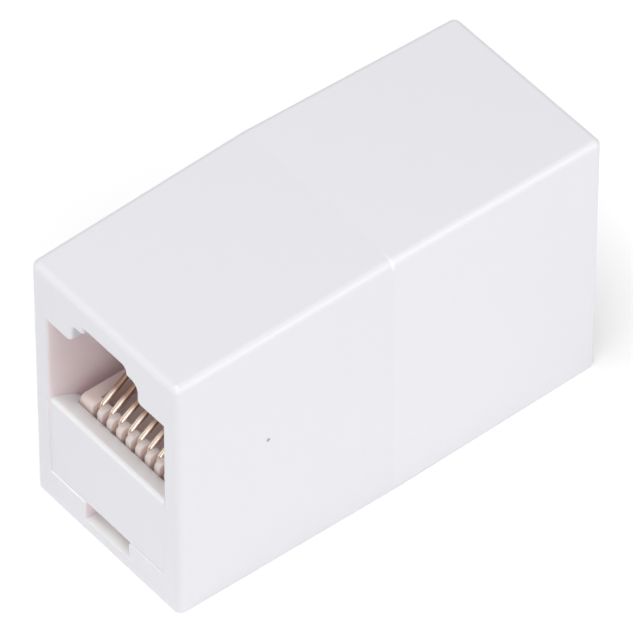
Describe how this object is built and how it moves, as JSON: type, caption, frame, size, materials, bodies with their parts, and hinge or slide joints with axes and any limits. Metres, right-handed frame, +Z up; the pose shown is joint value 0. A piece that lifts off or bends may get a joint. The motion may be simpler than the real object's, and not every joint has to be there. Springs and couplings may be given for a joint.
{
  "type": "rj45 inline coupler",
  "caption": "Female-to-female inline coupler with a modular socket in each end, for joining two network patch leads.",
  "frame": {"origin": "middle of the underside, under the seam between the two half shells", "axes": "+Z up, Y along the length with the front socket facing -Y and the rear socket facing +Y, X across the width"},
  "size_m": [0.0158, 0.0364, 0.0223],
  "materials": {
    "shell_abs": "white ABS, moulded, satin gloss",
    "carrier_pc": "off-white moulded plastic",
    "contact_gold": "gold plate over phosphor bronze wire",
    "lead_blue": "extruded PVC insulation",
    "lead_orange": "extruded PVC insulation",
    "lead_black": "extruded PVC insulation",
    "lead_red": "extruded PVC insulation",
    "lead_green": "extruded PVC insulation",
    "lead_yellow": "extruded PVC insulation",
    "lead_brown": "extruded PVC insulation",
    "lead_white": "extruded PVC insulation"
  },
  "bodies": {
    "root": {"front_shell": "shell_abs", "rear_shell": "shell_abs", "front_insert": "carrier_pc", "rear_insert": "carrier_pc", "front_contact_1": "contact_gold", "front_contact_2": "contact_gold", "front_contact_3": "contact_gold", "front_contact_4": "contact_gold", "front_contact_5": "contact_gold", "front_contact_6": "contact_gold", "front_contact_7": "contact_gold", "front_contact_8": "contact_gold", "rear_contact_1": "contact_gold", "rear_contact_2": "contact_gold", "rear_contact_3": "contact_gold", "rear_contact_4": "contact_gold", "rear_contact_5": "contact_gold", "rear_contact_6": "contact_gold", "rear_contact_7": "contact_gold", "rear_contact_8": "contact_gold", "lead_1": "lead_blue", "lead_2": "lead_orange", "lead_3": "lead_black", "lead_4": "lead_red", "lead_5": "lead_green", "lead_6": "lead_yellow", "lead_7": "lead_brown", "lead_8": "lead_white"}
  },
  "joints": []
}
